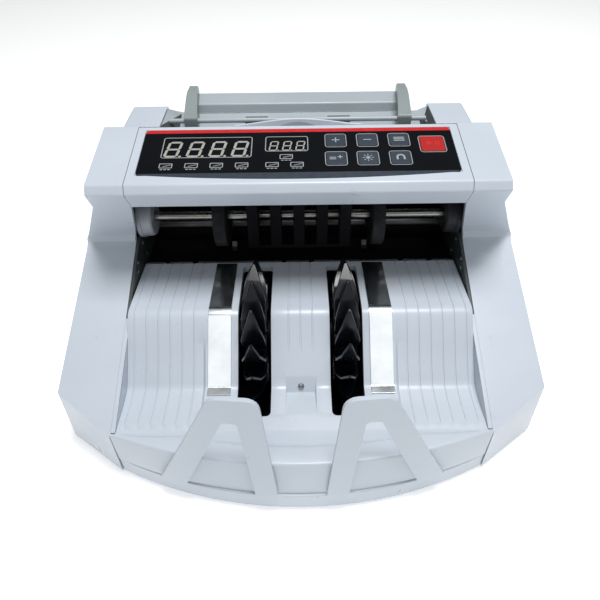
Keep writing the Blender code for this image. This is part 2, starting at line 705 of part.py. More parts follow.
def motor(name, axis, side, radius, length, material):
    """A motor can with a blind hole for its shaft, on the inside of a frame plate."""
    face = PLATE_INNER - GAP
    steps = [(side * face, radius - 1.5), (side * (face - 1.5), radius)]
    steps += [(side * (face - length + 1.5), radius), (side * (face - length), radius - 1.5)]
    can = turned(name, "X", axis, steps, material, count=32)
    hole = turned("hole", "X", axis, [(side * (face + 2), 2.4), (side * (face - 7.5), 2.4)], count=24)
    boolean(can, hole)


# ---------------------------------------------------------------- control panel

def build_membrane(black):
    half, low, high = MEMBRANE_HALF, MEMBRANE_LOW, MEMBRANE_HIGH
    outline = round_corners([(-half, low), (half, low), (half, high), (-half, high)], 2.5, steps=4)
    membrane = panel_block("membrane_overlay", outline, -MEMBRANE_THICK, 0.0, black)
    for x, t, size in KEYS.values():
        hole = rectangle(x, t, size[0] + 2 * GAP, size[1] + 2 * GAP)
        boolean(membrane, panel_block("key_hole", hole, -3.0, 3.0))


def build_key(name, x, t, size, material):
    """A cap with a narrower stem that reaches down to the board."""
    cap = round_corners(rectangle(x, t, *size), 1.4, steps=3)
    key = panel_block(name, cap, -3.0, KEY_PROUD, material)
    stem = rectangle(x, t, 4.0, 4.0)
    boolean(key, panel_block("stem", stem, -7.6, -2.0), "UNION")
    set_origin(key, on_panel(x, t, 0.0))


def build_control_panel(black, key_grey, red, smoke, green):
    build_membrane(black)
    for name, (x, t, size) in KEYS.items():
        build_key(name, x, t, size, red if name == "key_start" else key_grey)
    for name, (x, t, width, tall) in (("count_display", COUNT_DISPLAY), ("batch_display", BATCH_DISPLAY)):
        panel_block(name, rectangle(x, t, width, tall), -8.0, -MEMBRANE_THICK - GAP, smoke)
    panel_block("control_board", rectangle(0, 26.5, 176.0, 41.0), -9.9, -8.3, green)


# ---------------------------------------------------------------- hopper

def build_hopper(plastic):
    """The sloping floor with its raised cheeks, and the stepped back behind it."""
    sections = []
    for y, floor_z, cheek_z, thick in HOPPER_STATIONS:
        upper = [(-HOPPER_HALF, cheek_z), (-HOPPER_FLOOR_HALF, floor_z)]
        upper += [(HOPPER_FLOOR_HALF, floor_z), (HOPPER_HALF, cheek_z)]
        lower = [(x, z - thick) for x, z in reversed(upper)]
        sections.append([(x, y, z) for x, z in upper + lower])
    floor = loft("hopper_floor", sections, plastic)
    for side in (-1, 1):
        low, high = sorted((side * (PICKUP_X - PICKUP_W / 2 - 1), side * (PICKUP_X + PICKUP_W / 2 + 1)))
        boolean(floor, box("roller_slot", (low, 42.0, 120.0), (high, 68.0, 150.0)))
    path = [(72.4, 142.8), (73.6, 148.2), (87.0, 149.8)]
    path = round_corners(path, {1: 1.5}, steps=3, closed=False)
    sheet("hopper_back", path, -2.0, -HOPPER_BACK_HALF, HOPPER_BACK_HALF, plastic)


def build_note_guides(plastic, steel):
    """Two fins on a rail. Each is thick where it holds the rail and narrow at its rounded tip."""
    reach = HOPPER_HALF - 3.7
    turned("guide_rail", "X", RAIL_AXIS, [(-reach, RAIL_R), (reach, RAIL_R)], steel, count=16)
    profile = [
        (50.5, 143.0), (51.2, 140.8), (57.0, 140.8), (69.0, 144.6), (71.0, 149.6), (86.0, 151.4),
        (86.0, 153.4), (80.0, 157.6), (72.0, 157.0), (50.5, 149.0),
    ]
    profile = round_corners(profile, {6: 2.0, 7: 3.0, 8: 4.0, 9: 2.0}, steps=3)
    half = GUIDE_W / 2
    leaf = [(half, 48.0), (half, 68.0), (half - 1.6, 87.0), (-1.2, 87.0), (-2.6, 68.0), (-half, 48.0)]
    leaf = round_corners(leaf, {1: 30.0, 2: 1.9, 3: 1.9, 4: 30.0}, steps=4)
    for name, side in (("left_note_guide", -1), ("right_note_guide", 1)):
        low, high = side * GUIDE_X - half, side * GUIDE_X + half
        guide = prism(name, profile, "X", low, high, plastic)
        plan = [(side * (GUIDE_X + x), y) for x, y in leaf]
        boolean(guide, prism("leaf", plan, "Z", 130.0, 170.0), "INTERSECT")
        bore = turned("bore", "X", RAIL_AXIS, [(low - 2, RAIL_R + GAP), (high + 2, RAIL_R + GAP)], count=16)
        boolean(guide, bore)
        set_origin(guide, (side * GUIDE_X, *RAIL_AXIS))


# ---------------------------------------------------------------- rear and electrics

def build_rear_fittings(black, dark):
    inlet = box("power_inlet", (56.5, 92.0, 20.5), (83.5, REAR_Y + 1.2, 40.1), black)
    boolean(inlet, box("well", (60.5, 96.0, 23.5), (79.5, 130.0, 37.1)))
    y, z = REAR_Y - 2.0, 30.3
    rocker_profile = [
        (y - 8.0, z - 6.5), (y + 1.6, z - 7.2), (y + 4.6, z - 7.4), (y + 2.6, z), (y + 3.4, z + 7.4),
        (y + 1.6, z + 7.2), (y - 8.0, z + 6.5),
    ]
    rocker = prism("power_rocker", rocker_profile, "X", 27.5, 46.5, dark)
    set_origin(rocker, (37.0, y, z))
    steps = [(REAR_Y - 14.0, 2.8), (REAR_Y + GAP + 0.2, 2.8), (REAR_Y + GAP + 0.2, 9.0)]
    reach = STOP_THICK + STOP_GAP - wall_y(*STOP_FOOT)
    steps += [(reach - 1.2, 9.0), (reach, 8.0)]
    knob = turned("thickness_knob", "Y", (0, 55.0), steps, dark, count=24)
    set_origin(knob, (0, REAR_Y, 55.0))


def build_main_board(green):
    box("main_board", (-40.0, 20.0, 9.0), (40.0, 88.0, 10.6), green)


def main():
    clear_scene()
    plastic = make_material("casing_grey", (0.60, 0.66, 0.74), 0.45)
    black = make_material("black_plastic", (0.012, 0.013, 0.015), 0.4)
    dark = make_material("dark_plastic", (0.04, 0.04, 0.045), 0.5)
    rubber = make_material("black_rubber", (0.02, 0.02, 0.022), 0.8)
    gloss = make_material("gloss_black", (0.01, 0.01, 0.012), 0.15)
    steel = make_material("polished_steel", (0.75, 0.76, 0.78), 0.12, 1.0)
    plate = make_material("painted_steel", (0.30, 0.32, 0.33), 0.45, 0.3)
    white = make_material("white_nylon", (0.75, 0.77, 0.80), 0.5)
    key_grey = make_material("key_grey", (0.09, 0.12, 0.15), 0.5)
    red = make_material("start_red", (0.45, 0.03, 0.03), 0.45)
    smoke = make_material("display_smoke", (0.02, 0.02, 0.025), 0.2)
    green = make_material("board_green", (0.02, 0.12, 0.05), 0.5)
    can = make_material("motor_can", (0.45, 0.46, 0.48), 0.35, 0.9)

    build_base_pan(plastic)
    build_front_shell(plastic)
    build_side_covers(plastic)
    build_panel_housing(plastic)
    build_rear_cover(plastic)
    build_feet(rubber)
    build_tray(plastic)
    build_wear_strips(steel)
    build_note_stop("left_note_stop", -1, plastic)
    build_note_stop("right_note_stop", 1, plastic)
    build_paddle_wheel("left_paddle_wheel", -1, gloss)
    build_paddle_wheel("right_paddle_wheel", 1, gloss)
    build_frame_plates(plate)
    build_cowl(black)
    build_comb(black)
    build_drive(steel, rubber, white, dark, can)
    build_control_panel(gloss, key_grey, red, smoke, green)
    build_hopper(plastic)
    build_note_guides(plastic, steel)
    build_rear_fittings(black, dark)
    build_main_board(green)


main()
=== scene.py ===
"""Looks of the banknote counting machine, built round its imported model.

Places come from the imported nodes, in metres. Small printed and moulded detail is given in millimetres and
turned into metres by MM.
"""
import functools
import json
import math

import bmesh
import bpy
from mathutils import Matrix, Vector
from mathutils.bvhtree import BVHTree


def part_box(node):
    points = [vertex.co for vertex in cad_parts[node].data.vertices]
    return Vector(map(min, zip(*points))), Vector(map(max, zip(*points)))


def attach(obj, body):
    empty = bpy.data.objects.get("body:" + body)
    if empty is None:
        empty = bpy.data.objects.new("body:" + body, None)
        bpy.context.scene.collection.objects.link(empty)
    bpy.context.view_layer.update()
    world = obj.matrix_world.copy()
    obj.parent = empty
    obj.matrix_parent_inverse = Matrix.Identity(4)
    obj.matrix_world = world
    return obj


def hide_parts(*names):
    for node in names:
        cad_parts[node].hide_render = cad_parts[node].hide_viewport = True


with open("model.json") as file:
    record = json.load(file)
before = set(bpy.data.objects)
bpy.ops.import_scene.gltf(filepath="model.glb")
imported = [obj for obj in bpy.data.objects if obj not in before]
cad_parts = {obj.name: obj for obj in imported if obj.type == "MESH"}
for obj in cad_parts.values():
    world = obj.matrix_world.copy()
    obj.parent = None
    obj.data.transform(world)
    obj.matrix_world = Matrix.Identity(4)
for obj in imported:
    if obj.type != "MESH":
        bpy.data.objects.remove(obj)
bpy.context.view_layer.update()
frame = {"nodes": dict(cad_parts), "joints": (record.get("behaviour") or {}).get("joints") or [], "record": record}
NODES = frame["nodes"]
MM = 0.001
CHASSIS = "chassis"

# Control panel
KEY_PROUD = 0.4
INK_FOOT, INK = -0.02, 0.07
KEY_NAMES = ("plus", "minus", "batch", "add", "light_check", "magnet_check", "start")
STRIPE_HEIGHT = 3.1
CRESCENT_SAG = 4.4
COUNT_FRAME = (-77.3, -26.2, -5.8, 13.0)
BATCH_FRAME = (-18.8, 5.8, -0.8, 13.0)
COUNT_DIGITS, COUNT_PITCH, COUNT_LEFT = 4, 12.65, -76.2
BATCH_DIGITS, BATCH_PITCH, BATCH_LEFT = 3, 7.55, -16.9
LAMP_SIZE = (7.4, 4.1)
LAMPS = [(x, -13.1) for x in (-73.3, -59.2, -45.3, -31.3, -14.5, -0.7)] + [(-6.7, -6.2)]

# Tray and front shell
SIDE_GROOVES = [62.5 + 7.0 * i for i in range(6)]
CENTRE_GROOVES = [-7.0, 0.0, 7.0]
CENTRE_GROOVE_END = -52.0
GROOVE_TOP, GROOVE_FLOOR, GROOVE_DEPTH = 0.5, 0.2, 0.5
PANEL_EDGE, PANEL_DROP = 56.2, 2.2
SLOT_INNER, SLOT_OUTER, SLOT_FRONT, SLOT_REAR = 17.2, 36.5, -86.0, 12.5
POCKET_HALF = 8.7
POCKET = [(-63.0, 42.2), (-68.0, 34.2), (-85.0, 36.4), (-85.0, 60.0), (-63.0, 60.0)]
POCKET_SCREW = (0.0, -66.2, 37.6)
RAIL_NOTCHES = [-87.0, -68.6, -10.0, 8.0, 66.6, 85.5]
TRAY_THICK, TRAY_RIB_THICK, TRAY_RIB_HALF = 4.8, 7.5, 11.0
WALL_REAR = -33.0

# Studio
CAMERA_PLACE = (0.0, -0.2705, 0.2892)
CAMERA_TILT, CAMERA_ROLL = 48.0, -0.72
LIGHT_AIM = (0, 0, 0.05)
LIGHTS = {"key": ((0.12, -0.02, 1.3), 0.45, 13), "softbox": ((0.0, -0.75, 0.95), 0.8, 1.9)}


# ---------------------------------------------------------------- materials

def new_material(name):
    material = bpy.data.materials.new(name)
    material.use_nodes = True
    return material, material.node_tree, material.node_tree.nodes["Principled BSDF"]


def noise(tree, scale, detail=2.0, stretch=(1.0, 1.0, 1.0)):
    """Noise in the object's own coordinates. A small stretch value draws it out along that axis."""
    place = tree.nodes.new("ShaderNodeTexCoord")
    mapping = tree.nodes.new("ShaderNodeMapping")
    mapping.inputs["Scale"].default_value = stretch
    texture = tree.nodes.new("ShaderNodeTexNoise")
    texture.inputs["Scale"].default_value = scale
    texture.inputs["Detail"].default_value = detail
    tree.links.new(place.outputs["Object"], mapping.inputs["Vector"])
    tree.links.new(mapping.outputs["Vector"], texture.inputs["Vector"])
    return texture.outputs["Fac"]


def add_colour(tree, shader, share, dark, light):
    """Mix two colours by a texture."""
    ramp = tree.nodes.new("ShaderNodeValToRGB")
    for stop, position, colour in zip(ramp.color_ramp.elements, (0.35, 0.65), (dark, light)):
        stop.position = position
        stop.color = (*colour, 1.0)
    tree.links.new(share, ramp.inputs["Fac"])
    tree.links.new(ramp.outputs["Color"], shader.inputs["Base Color"])


def add_roughness(tree, shader, share, low, high):
    """Vary the roughness between two values by a texture."""
    spread = tree.nodes.new("ShaderNodeMapRange")
    spread.inputs["From Min"].default_value = 0.3
    spread.inputs["From Max"].default_value = 0.7
    spread.inputs["To Min"].default_value = low
    spread.inputs["To Max"].default_value = high
    tree.links.new(share, spread.inputs["Value"])
    tree.links.new(spread.outputs["Result"], shader.inputs["Roughness"])


def add_bump(tree, shader, share, depth, strength):
    """Raise a grain by a texture. Depth is in metres."""
    bump = tree.nodes.new("ShaderNodeBump")
    bump.inputs["Distance"].default_value = depth
    bump.inputs["Strength"].default_value = strength
    tree.links.new(share, bump.inputs["Height"])
    tree.links.new(bump.outputs["Normal"], shader.inputs["Normal"])


def plastic(name, dark, light, rough, grain=1800.0, depth=0.00003, strength=0.25, shine=0.5):
    """Moulded plastic: faint cloudiness in the colour, uneven sheen and a fine spark-eroded grain."""
    material, tree, shader = new_material(name)
    add_colour(tree, shader, noise(tree, 14.0, 3.0), dark, light)
    add_roughness(tree, shader, noise(tree, 60.0, 4.0), *rough)
    add_bump(tree, shader, noise(tree, grain, 2.0), depth, strength)
    shader.inputs["Specular IOR Level"].default_value = shine
    return material


def metal(name, dark, light, rough, stretch, scale=900.0, strength=0.12):
    """Metal with fine lines drawn out along one axis and a few smudges."""
    material, tree, shader = new_material(name)
    shader.inputs["Metallic"].default_value = 1.0
    add_colour(tree, shader, noise(tree, 45.0, 5.0), dark, light)
    add_roughness(tree, shader, noise(tree, 70.0, 5.0), *rough)
    add_bump(tree, shader, noise(tree, scale, 3.0, stretch), 0.00002, strength)
    return material


def rubber(name, dark, light):
    """Rubber: matt, with a coarse grain and dusty patches."""
    material, tree, shader = new_material(name)
    add_colour(tree, shader, noise(tree, 120.0, 6.0), dark, light)
    add_roughness(tree, shader, noise(tree, 200.0, 3.0), 0.6, 0.85)
    shader.inputs["Specular IOR Level"].default_value = 0.2
    add_bump(tree, shader, noise(tree, 2600.0, 3.0), 0.00006, 0.5)
    return material


def ink(name, dark, light, rough=(0.35, 0.5)):
    """Screen-printed ink, with a slightly uneven edge to its colour."""
    material, tree, shader = new_material(name)
    add_colour(tree, shader, noise(tree, 500.0, 3.0), dark, light)
    add_roughness(tree, shader, noise(tree, 300.0, 2.0), *rough)
    return material


def circuit_board(name):
    """A printed circuit board: solder mask with the pattern of copper tracks under it, both darkened as painted
    shade.
    """
    material, tree, shader = new_material(name)
    place = tree.nodes.new("ShaderNodeTexCoord")
    bricks = tree.nodes.new("ShaderNodeTexBrick")
    bricks.inputs["Scale"].default_value = 90.0
    bricks.inputs["Mortar Size"].default_value = 0.04
    # Solder mask and track colours kept far darker than a real board: painted shade of the machine's dark inside.
    shade_darkened_colours = {"Color1": (0.003, 0.018, 0.008), "Color2": (0.004, 0.024, 0.011), "Mortar": (0.01, 0.05, 0.02)}
    for socket, colour in shade_darkened_colours.items():
        bricks.inputs[socket].default_value = (*colour, 1.0)
    tree.links.new(place.outputs["Object"], bricks.inputs["Vector"])
    tree.links.new(bricks.outputs["Color"], shader.inputs["Base Color"])
    add_roughness(tree, shader, noise(tree, 90.0), 0.25, 0.45)
    return material


MATERIALS = {
    "casing_grey": plastic("casing_grey", (0.53, 0.585, 0.655), (0.565, 0.62, 0.685), (0.27, 0.36)),
    "black_plastic": plastic("black_plastic", (0.003, 0.003, 0.004), (0.005, 0.005, 0.006), (0.5, 0.65),
                             shine=0.1),
    "dark_plastic": plastic("dark_plastic", (0.03, 0.033, 0.038), (0.045, 0.048, 0.055), (0.4, 0.55),
                            shine=0.25),
    "black_rubber": rubber("black_rubber", (0.014, 0.015, 0.018), (0.03, 0.032, 0.036)),
    "gloss_black": plastic("gloss_black", (0.002, 0.003, 0.005), (0.004, 0.005, 0.009), (0.22, 0.3),
                           strength=0.04, shine=0.4),
    "polished_steel": metal("polished_steel", (0.70, 0.72, 0.74), (0.86, 0.87, 0.88), (0.04, 0.14),
                            (1.0, 0.02, 0.02)),
    "painted_steel": plastic("painted_steel", (0.045, 0.055, 0.056), (0.065, 0.075, 0.075), (0.35, 0.5),
                             grain=700.0),
    "white_nylon": plastic("white_nylon", (0.42, 0.45, 0.50), (0.50, 0.53, 0.58), (0.35, 0.5)),
    "key_grey": plastic("key_grey", (0.030, 0.042, 0.060), (0.038, 0.052, 0.072), (0.35, 0.45), shine=0.3),
    "start_red": plastic("start_red", (0.38, 0.014, 0.014), (0.44, 0.020, 0.018), (0.35, 0.45), shine=0.25),
    "display_smoke": plastic("display_smoke", (0.008, 0.008, 0.01), (0.014, 0.014, 0.016), (0.15, 0.25)),
    "board_green": circuit_board("board_green"),
    "motor_can": metal("motor_can", (0.35, 0.36, 0.38), (0.48, 0.49, 0.51), (0.25, 0.4),
                       (0.05, 1.0, 1.0)),
}
PRINT_GREY = ink("print_grey", (0.30, 0.32, 0.33), (0.36, 0.38, 0.39))
PRINT_DIM = ink("print_dim", (0.12, 0.14, 0.16), (0.16, 0.18, 0.20))
PRINT_RED = ink("print_red", (0.50, 0.006, 0.008), (0.60, 0.010, 0.012))
PRINT_SLATE = ink("print_slate", (0.020, 0.030, 0.045), (0.026, 0.038, 0.055))
SEGMENTS = ink("unlit_segments", (0.34, 0.34, 0.31), (0.42, 0.42, 0.38), (0.25, 0.35))
HOPPER_GREY = plastic("hopper_grey", (0.36, 0.41, 0.44), (0.40, 0.45, 0.48), (0.28, 0.4))
GUIDE_GREY = plastic("guide_grey", (0.22, 0.26, 0.26), (0.26, 0.30, 0.30), (0.3, 0.45))
FILM = plastic("keypad_film", (0.003, 0.004, 0.0055), (0.0045, 0.0055, 0.0075), (0.35, 0.42),
               strength=0.05, shine=0.06)
# A warm steel for the feed shaft, its colour darkened well below bright steel as painted shade of the dark inside
# round it.
SHADED_SHAFT_STEEL = metal("shaded_shaft_steel", (0.30, 0.29, 0.27), (0.40, 0.39, 0.36), (0.22, 0.32), (1.0, 0.05, 0.05))
DARK_STEEL = metal("dark_steel", (0.10, 0.105, 0.11), (0.16, 0.165, 0.17), (0.35, 0.5), (1.0, 0.1, 1.0))
# Darker grey for the hopper floor's steep cheek faces: painted shade.
CHEEK_PAINTED_SHADE = plastic("cheek_painted_shade", (0.045, 0.05, 0.055), (0.06, 0.066, 0.07), (0.4, 0.5))
STRIP_STEEL = metal("strip_steel", (0.74, 0.78, 0.80), (0.90, 0.93, 0.95), (0.14, 0.24),
                    (0.05, 1.0, 1.0), 600.0, 0.08)


# ---------------------------------------------------------------- mesh helpers

def ring_faces(bm, near, far):
    """Join two rings of vertices by four-sided faces."""
    for i in range(len(near)):
        j = (i + 1) % len(near)
        bm.faces.new((near[i], near[j], far[j], far[i]))


def loft(bm, rings):
    """A closed solid through rings of points that all have the same length."""
    rows = [[bm.verts.new(point) for point in ring] for ring in rings]
    for near, far in zip(rows, rows[1:]):
        ring_faces(bm, near, far)
    bm.faces.new(rows[0][::-1])
    bm.faces.new(rows[-1])


def frame_solid(bm, outer, inner):
    """A closed frame: outer and inner are (low ring, high ring) pairs of points."""
    rows = [[bm.verts.new(point) for point in ring] for ring in (*outer, inner[1], inner[0])]
    for near, far in zip(rows, rows[1:] + rows[:1]):
        ring_faces(bm, near, far)


def finish_bmesh(bm, name, material):
    """Turn a bmesh into an object, with its faces pointing out."""
    bmesh.ops.recalc_face_normals(bm, faces=bm.faces)
    mesh = bpy.data.meshes.new(name)
    bm.to_mesh(mesh)
    bm.free()
    mesh.materials.append(material)
    obj = bpy.data.objects.new(name, mesh)
    bpy.context.scene.collection.objects.link(obj)
    return obj


def add_piece(bm, name, material, body=CHASSIS, smooth=True):
    """Turn a bmesh into a piece that rides on a body, in the material it is given."""
    obj = finish_bmesh(bm, name, material)
    if smooth:
        obj.data.shade_smooth()
        obj.data.set_sharp_from_angle(angle=math.radians(35))
    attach(obj, body)
    return obj


def cut(obj, tool):
    """Cut a tool object out of another object, then remove the tool."""
    modifier = obj.modifiers.new("cut", "BOOLEAN")
    modifier.object = tool
    modifier.solver = "EXACT"
    bake(obj)
    bpy.data.objects.remove(tool)


def bake(obj):
    """Apply an object's modifiers."""
    bpy.context.view_layer.update()
    graph = bpy.context.evaluated_depsgraph_get()
    mesh = bpy.data.meshes.new_from_object(obj.evaluated_get(graph))
    obj.modifiers.clear()
    obj.data = mesh


def round_edges(obj, width, angle=65.0, segments=3):
    """Round the edges that are sharper than an angle. The width is in millimetres."""
    bevel = obj.modifiers.new("round", "BEVEL")
    bevel.width = width * MM
    bevel.segments = segments
    bevel.limit_method = "ANGLE"
    bevel.angle_limit = math.radians(angle)
    bake(obj)
    obj.data.shade_smooth()
    obj.data.set_sharp_from_angle(angle=math.radians(35))


def rounded(x0, x1, y0, y1, radius, steps=4):
    """A rectangle with rounded corners, as a list of (x, y)."""
    corners = [(x1 - radius, y0 + radius, -90), (x1 - radius, y1 - radius, 0),
               (x0 + radius, y1 - radius, 90), (x0 + radius, y0 + radius, 180)]
    points = []
    for x, y, turn in corners:
        for step in range(steps + 1):
            angle = math.radians(turn + 90.0 * step / steps)
            points.append((x + radius * math.cos(angle), y + radius * math.sin(angle)))
    return points


def disc(x, y, radius, count=20):
    """A circle's outline, as a list of (x, y)."""
    turns = [2 * math.pi * i / count for i in range(count)]
    return [(x + radius * math.cos(turn), y + radius * math.sin(turn)) for turn in turns]


def bar(x, y, width, height, lean=0.0):
    """A rectangle round (x, y), turned by lean degrees."""
    cosine, sine = math.cos(math.radians(lean)), math.sin(math.radians(lean))
    corners = [(width / 2 * a, height / 2 * b) for a, b in ((-1, -1), (1, -1), (1, 1), (-1, 1))]
    return [(x + a * cosine - b * sine, y + a * sine + b * cosine) for a, b in corners]


def turned(bm, centre, axis, profile, count=24):
    """A turned solid: profile is (distance along the axis, radius) in millimetres, ends included."""
    axis = Vector(axis).normalized()
    across = axis.orthogonal().normalized()
    other = axis.cross(across)
    turns = [2 * math.pi * i / count for i in range(count)]
    spokes = [across * math.cos(turn) + other * math.sin(turn) for turn in turns]
    rings = []
    for along, radius in profile:
        middle = Vector(centre) + axis * along * MM
        rings.append([middle + spoke * radius * MM for spoke in spokes])
    loft(bm, rings)


def block(bm, low, high):
    """A box between two corners in millimetres."""
    outline = [(low[0], low[1]), (high[0], low[1]), (high[0], high[1]), (low[0], high[1])]
    loft(bm, [[Vector((x, y, z)) * MM for x, y in outline] for z in (low[2], high[2])])


def prism_x(bm, outline, x0, x1):
    """An outline of (y, z) in metres, extruded along X between two places in millimetres."""
    loft(bm, [[(x * MM, y, z) for y, z in outline] for x in (x0, x1)])


@functools.cache
def faces_of(node):
    mesh = NODES[node].data
    return BVHTree.FromPolygons([v.co for v in mesh.vertices], [face.vertices for face in mesh.polygons])


def meet(node, start, direction):
    """The point where a ray first meets a CAD node, and the normal there."""
    place, normal, _, _ = faces_of(node).ray_cast(Vector(start), Vector(direction))
    return place, normal


def top_line(node, x, start, stop, count):
    """(y, z) of a CAD node's top surface at x, from one y to another, all in metres."""
    ys = [start + (stop - start) * i / count for i in range(count + 1)]
    places = [meet(node, (x, y, 1.0), (0, 0, -1))[0] for y in ys]
    return [(place.y, place.z) for place in places]


def front_face(node, x, z):
    """The y of a CAD node's foremost point at x and z."""
    return meet(node, (x, -1.0, z), (0, 1, 0))[0].y


# ---------------------------------------------------------------- control panel

def find_panel():
    """The membrane's top centre, its up-slope direction, its normal and its half height."""
    joint = next(j for j in frame["joints"] if j["name"] == "key_plus_press")
    normal = Vector(joint["axis"]).normalized()
    slope = Vector((0.0, normal.z, -normal.y))
    low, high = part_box("membrane_overlay")
    size = high - low
    thick = (size.z * slope.y - size.y * slope.z) / (slope.y ** 2 - slope.z ** 2)
    height = (size.y - thick * slope.z) / slope.y
    return (low + high) / 2 + normal * thick / 2, slope, normal, height / 2 / MM, high.x / MM


PANEL_MIDDLE, PANEL_UP, PANEL_NORMAL, PANEL_HALF_HEIGHT, PANEL_HALF_WIDTH = find_panel()


def on_panel(x, up, out):
    """A point from its millimetres across, up and out of the panel's top surface."""
    return PANEL_MIDDLE + (Vector((x, 0, 0)) + PANEL_UP * up + PANEL_NORMAL * out) * MM


def printed(bm, outline, low=INK_FOOT, high=INK):
    """An outline printed on the panel, as a thin closed solid."""
    loft(bm, [[on_panel(x, up, out) for x, up in outline] for out in (low, high)])


def printed_frame(bm, outer, inner):
    """The area between two outlines, printed on the panel."""
    pairs = [[[on_panel(x, up, out) for x, up in ring] for out in (INK_FOOT, INK)] for ring in (outer, inner)]
    frame_solid(bm, pairs[0], pairs[1])


def line_box(bm, x0, x1, y0, y1, radius, line):
    """A printed rectangle drawn as a line of even width."""
    inner = rounded(x0 + line, x1 - line, y0 + line, y1 - line, max(0.1, radius - line))
    printed_frame(bm, rounded(x0, x1, y0, y1, radius), inner)


def segment(start, stop, middle, tip, upright):
    """A bar of a display digit with pointed ends, from start to stop along one axis."""
    half = tip if upright else -tip
    along = (start, start + tip, stop - tip, stop, stop - tip, start + tip)
    across = (middle, middle + half, middle + half, middle, middle - half, middle - half)
    return list(zip(across, along)) if upright else list(zip(along, across))


def digit_segments(left, foot, width, height, line, slant):
    """The seven outlines of a display digit and its point, leaning to the right."""
    half = height / 2
    gap, tip = 0.12, line / 2

    def lean(points):
        return [(left + x + (y * slant), foot + y) for x, y in points]

    shapes = [lean(segment(tip + gap, width - tip - gap, y, tip, False)) for y in (tip, half, height - tip)]
    for x in (tip, width - tip):
        for low, high in ((tip + gap, half - gap), (half + gap, height - tip - gap)):
            shapes.append(lean(segment(low, high, x, tip, True)))
    shapes.append(lean(disc(width + line * 0.9, tip, tip * 1.05, 10)))
    return shapes


def add_digits():
    """The unlit segments of both displays."""
    bm = bmesh.new()
    for i in range(COUNT_DIGITS):
        for shape in digit_segments(COUNT_LEFT + COUNT_PITCH * i, -5.1, 8.2, 14.2, 1.45, 0.17):
            printed(bm, shape)
    for i in range(BATCH_DIGITS):
        for shape in digit_segments(BATCH_LEFT + BATCH_PITCH * i, -0.1, 4.9, 8.6, 0.75, 0.15):
            printed(bm, shape)
    add_piece(bm, "display_segments", SEGMENTS, smooth=False)


def add_printed_lines():
    """Frames of the two displays and of the indicator lamps, with a short mark under each lamp."""
    bm = bmesh.new()
    for x0, x1, y0, y1 in (COUNT_FRAME, BATCH_FRAME):
        line_box(bm, x0, x1, y0, y1, 1.6, 0.5)
    for x, y in LAMPS:
        width, height = LAMP_SIZE
        line_box(bm, x - width / 2, x + width / 2, y - height / 2 + 0.6, y + height / 2 + 0.6, 0.6, 0.5)
        for step in (-1.5, 0.0, 1.5):
            printed(bm, bar(x + step * 1.4, y - 2.6, 1.5, 0.6))
    add_piece(bm, "printed_lines", PRINT_GREY, smooth=False)


def add_lamps():
    """The smoked windows of the indicator lamps, each with the pale corner of its lamp showing."""
    bm = bmesh.new()
    for x, y in LAMPS:
        printed(bm, [(x - 1.8, y - 0.6), (x + 2.9, y + 0.9), (x + 2.9, y + 1.9), (x - 1.8, y + 0.3)])
    add_piece(bm, "indicator_lamps", PRINT_DIM, smooth=False)


def add_stripe():
    """The red stripe along the panel's top edge, with the panel's rounded corners."""
    bm = bmesh.new()
    half, top = PANEL_HALF_WIDTH - 0.1, PANEL_HALF_HEIGHT - 0.05
    outline = rounded(-half, half, top - 8.0, top, 2.5)
    cap = [point for point in outline if point[1] > top - 2.6]
    printed(bm, [(half, top - STRIPE_HEIGHT)] + cap + [(-half, top - STRIPE_HEIGHT)], high=INK * 0.8)
    add_piece(bm, "red_stripe", PRINT_RED, smooth=False)


def add_crescent():
    """The slate band that bows down past the panel's lower edge."""
    bm = bmesh.new()
    half, edge = PANEL_HALF_WIDTH - 1.5, -PANEL_HALF_HEIGHT
    count = 28
    xs = [half - 2 * half * i / count for i in range(count + 1)]
    arc = [(x, edge - CRESCENT_SAG * (1 - (x / half) ** 2)) for x in xs]
    printed(bm, [(-half, edge + 1.1), (half, edge + 1.1)] + arc, high=INK * 0.8)
    add_piece(bm, "lower_band", PRINT_SLATE, smooth=False)


def find_key(name):
    """(x, up, size) of a key's cap, on the panel. Caps are as tall as they are wide."""
    low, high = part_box(f"key_{name}")
    size = (high.x - low.x) / MM
    foot = (low.y - on_panel(0, 0, KEY_PROUD).y) / PANEL_UP.y / MM
    return (low.x + high.x) / 2 / MM, foot + size / 2, size


def ray_ring(x, y, inner, outer, count):
    """Short rays round a point."""
    bars = []
    for i in range(count):
        turn = 360.0 * i / count
        reach = (inner + outer) / 2
        middle = (x + reach * math.cos(math.radians(turn)), y + reach * math.sin(math.radians(turn)))
        bars.append(bar(*middle, outer - inner, 0.5, turn))
    return bars


def horseshoe(x, y, radius, line):
    """A horseshoe magnet that opens downwards."""
    turns = [math.pi * i / 10 for i in range(11)]
    near, foot = radius - line, y - 2.2
    outer = [(x + radius * math.cos(turn), y + radius * math.sin(turn)) for turn in turns]
    inner = [(x + near * math.cos(turn), y + near * math.sin(turn)) for turn in turns[::-1]]
    return outer + [(x - radius, foot), (x - near, foot)] + inner + [(x + near, foot), (x + radius, foot)]


def key_signs():
    """The outlines of each key's sign, round (0, 0)."""
    return {
        "plus": [bar(0, 0, 4.4, 0.7), bar(0, 1.28, 0.7, 1.85), bar(0, -1.28, 0.7, 1.85)],
        "minus": [bar(0, 0, 4.6, 0.7)],
        "batch": [bar(0, 1.7, 6.2, 0.75), bar(0, 0.3, 6.2, 0.75), bar(0, -1.1, 6.2, 0.75)],
        "add": [bar(-1.9, -0.9, 3.6, 0.7), bar(-1.9, 0.5, 3.6, 0.7), bar(2.2, 0.9, 2.8, 0.65),
                bar(2.2, 1.75, 0.65, 1.05), bar(2.2, 0.05, 0.65, 1.05)],
        "light_check": [disc(0, 0, 1.2, 16)] + ray_ring(0, 0, 1.8, 3.1, 8),
        "magnet_check": [horseshoe(0, 0.2, 2.5, 1.1)],
        "start": [[(-3.2, -2.0), (0.6, 0.2), (-3.2, 2.4)], bar(2.0, 0.2, 0.9, 4.2), bar(3.7, 0.2, 0.9, 4.2)],
    }


